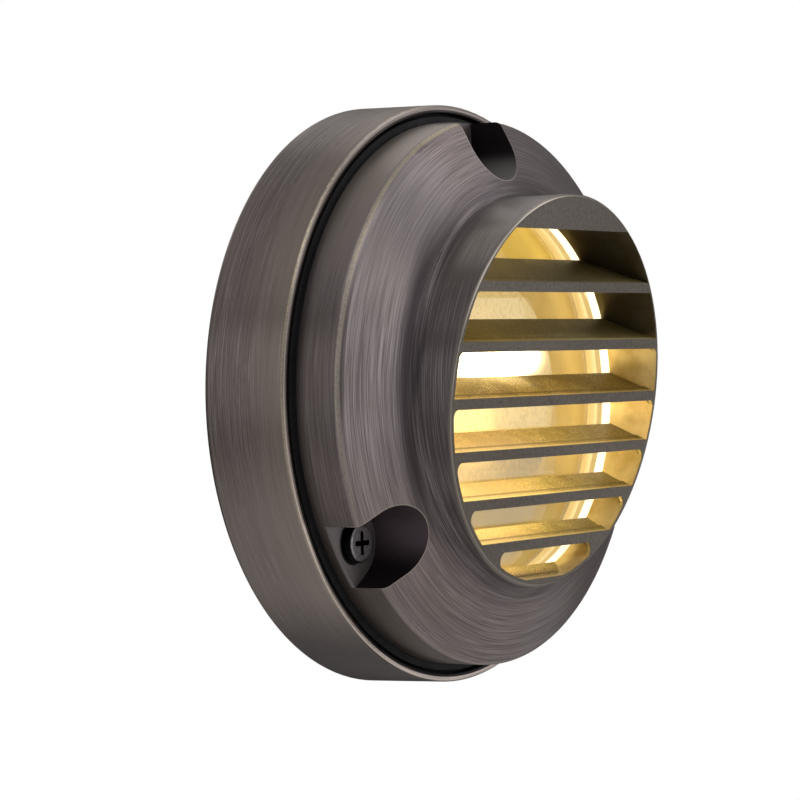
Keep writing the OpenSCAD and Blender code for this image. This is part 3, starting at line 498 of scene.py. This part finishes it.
# Closed-cell foam rubber, skived from sheet: dull, with small pores
foam = grained("closed_cell_foam_rubber", "#1c1c1d", "#2e2e30", 0.5 * MM, 0.12 * MM, 0.9)
for name in ("wall_gasket", "driver_pad"):
    wear(name, foam)
# Moulded rubber with a dusting of talc: near black, speckled, hardly glossy
rubber = grained("moulded_epdm_rubber", "#08080b", "#1a1b22", 0.35 * MM, 0.05 * MM, 0.7)
for name in ("cable_grommet", "cover_gasket", "screw_seals"):
    wear(name, rubber)
# Injection-moulded ABS from a spark-eroded tool: even fine grain
wear("driver_case", grained("moulded_black_abs", "#161617", "#232325", 0.25 * MM, 0.02 * MM, 0.5))
# Poured epoxy: flows level and sets glossy, with a few clouds of filler
wear("driver_potting", grained("poured_epoxy_resin", "#191816", "#24221f", 1.2 * MM, 0.01 * MM, 0.14))
# Natural nylon, moulded: milky and satin
wear("terminal_block", grained("moulded_natural_nylon", "#d6d0c0", "#e6e1d3", 0.5 * MM, 0.01 * MM, 0.42))
# Brass turned from bar: bright, with fine tool marks
wear("terminal_screws", grained("turned_brass", "#b98f45", "#d3ab5e", 0.2 * MM, 0.01 * MM, 0.28,
                                metallic=1.0))
# Zinc-plated steel: silver with a faint blue bloom
zinc = grained("zinc_plated_steel", "#9b9ea3", "#bcbfc4", 0.3 * MM, 0.01 * MM, 0.32, metallic=1.0)
for name in ("terminal_fixing_screw", "sink_screws", "board_screws", "lens_ring_screws"):
    wear(name, zinc)
# Extruded wire insulation: smooth, slightly glossy
wear("input_lead", grained("extruded_black_pvc", "#131314", "#1d1d1f", 0.4 * MM, 0.01 * MM, 0.4))
wear("led_lead", grained("extruded_red_silicone", "#8e1f18", "#a92a20", 0.4 * MM, 0.01 * MM, 0.45))
# Die-cast aluminium, unmachined: pale grey with a fine orange-peel skin
wear("heat_sink", grained("die_cast_aluminium", "#8f9194", "#b0b2b5", 0.5 * MM, 0.03 * MM, 0.42,
                          metallic=1.0))
wear("lens_ring", ring_with_painted_glow())
# Filled silicone sheet: soft, chalky blue-grey
wear("thermal_pad", grained("filled_silicone_pad", "#71869a", "#8a9db0", 0.4 * MM, 0.02 * MM, 0.75))
# White solder mask on an aluminium board: smooth and slightly glossy
wear("led_board", grained("white_solder_mask", "#e2e2dd", "#eeeeea", 0.6 * MM, 0.005 * MM, 0.35))
# Phosphor in clear silicone over the diodes: yellow, and bright when lit
wear("leds", grained("phosphor_silicone_lit", "#e9bf48", "#f6d66b", 0.15 * MM, 0.01 * MM, 0.4,
                     emission_color="#ffe2a6", emission_strength=6.0))
wear("led_diffuser", opal_cap())
wear("reflector", gold_dish())
# Silicone cord squeezed between lens and casting: milky, with the lamp's light it takes up painted on as a
# glow
wear("lens_seal", grained("white_silicone", "#ece8de", "#f8f5ee", 0.5 * MM, 0.01 * MM, 0.4,
                          emission_color="#fff4dc", emission_strength=0.95))
wear("lens", clear_glass())


# Studio: plain pale floor under the light, white beyond it, soft boxes round it
def floor():
    """A pale matt floor under the light that fades to white away from it, and is clear from below."""
    made, tree = material("pale_matt_floor")
    point = add(tree, "TexCoord").outputs["Object"]
    mottle = add(tree, "TexNoise", named={"Vector": point, "Scale": 30.0, "Detail": 3.0})
    matt = add(tree, "BsdfPrincipled", named={
        "Base Color": add(tree, "blend", mottle, "#eceae7", "#f4f3f1"), "Roughness": 0.85})
    path = add(tree, "LightPath").outputs
    seen = add(tree, "maximum", path["Is Camera Ray"], path["Is Transmission Ray"])
    far = add(tree, "multiply", seen, add(tree, "step", add(tree, "length", point), 0.16, 0.34))
    # Near the light it is paler to the eye than the boxes make it, and keeps its shadow
    pale = add(tree, "maximum", far, add(tree, "multiply", seen, 0.45))
    top = add(tree, "MixShader", pale, matt, add(tree, "Emission", (1, 1, 1, 1), 1.0))
    # Seen in metal, it is dim behind the light and to its right
    aside = add(tree, "dot", point, (0.5, 1, 0))
    hidden = add(tree, "multiply", path["Is Glossy Ray"], add(tree, "step", aside, 0.06, 0.20))
    top = add(tree, "MixShader", hidden, top, add(tree, "Emission", "#1c1a1a", 1.0))
    backfacing = add(tree, "NewGeometry").outputs["Backfacing"]
    shown = add(tree, "MixShader", backfacing, top, add(tree, "BsdfTransparent"))
    add(tree, "OutputMaterial", shown)
    bpy.ops.mesh.primitive_plane_add(size=FLOOR_SIDE, location=(0, 0, FLOOR_LEVEL))
    ground = bpy.context.object
    ground.name = "floor"
    ground.data.materials.append(made)


def sky():
    """White to the eye and through glass; seen in metal, a room that is grey above and dark below."""
    world = bpy.data.worlds.new("studio")
    bpy.context.scene.world = world
    world.use_nodes = True
    tree = world.node_tree
    tree.nodes.clear()
    way = add(tree, "TexCoord").outputs["Generated"]
    up = add(tree, "SeparateXYZ", way).outputs[2]
    room = add(tree, "blend", add(tree, "step", up, -0.2, 0.7), "#0c0b0b", "#989695")
    path = add(tree, "LightPath").outputs
    seen = add(tree, "maximum", path["Is Camera Ray"], path["Is Transmission Ray"])
    shown = add(tree, "MixShader", seen, add(tree, "Background", room, 1.0),
                add(tree, "Background", (1, 1, 1, 1), 1.0))
    add(tree, "OutputWorld", shown)


def soft_box(name, place, aim, width, height, level, tint="#ffffff", beam=180):
    """An area light whose face shows at a level, where 1 is white, with a beam of some degrees."""
    lamp = bpy.data.lights.new(name, "AREA")
    lamp.shape, lamp.size, lamp.size_y = "RECTANGLE", width, height
    lamp.spread = math.radians(beam)
    lamp.color = linear(tint)[:3]
    lamp.energy = level * math.pi * width * height
    box = bpy.data.objects.new(name, lamp)
    box.location = place
    box.rotation_euler = (Vector(aim) - Vector(place)).to_track_quat("-Z", "Y").to_euler()
    bpy.context.scene.collection.objects.link(box)
    box.visible_camera = box.visible_transmission = False


def camera():
    """A long lens on a full-frame camera, at the eye's place."""
    lens = bpy.data.cameras.new("view")
    lens.lens, lens.sensor_width = FOCAL_MM, 36.0
    lens.clip_start, lens.clip_end = 0.05, 20.0
    eye = bpy.data.objects.new("view", lens)
    bpy.context.scene.collection.objects.link(eye)
    turn = Matrix.Rotation(EYE_TURN, 4, "Z") @ Matrix.Rotation(math.pi / 2 - EYE_DIP, 4, "X")
    eye.matrix_world = Matrix.Translation(EYE) @ turn @ Matrix.Rotation(EYE_ROLL, 4, "Z")
    bpy.context.scene.camera = eye


floor()
sky()
for name, turn, rise, level in SOFT_BOXES:
    turn, rise = math.radians(turn), math.radians(rise)
    place = (BOX_FAR * math.cos(rise) * math.sin(turn), -BOX_FAR * math.cos(rise) * math.cos(turn),
             BOX_FAR * math.sin(rise))
    soft_box(name, place, (0, 0, 0), BOX_SIDE, BOX_SIDE, level)
for lamp in SMALL_LAMPS:
    soft_box(*lamp)
camera()

scene = bpy.context.scene
scene.view_settings.view_transform = "Standard"
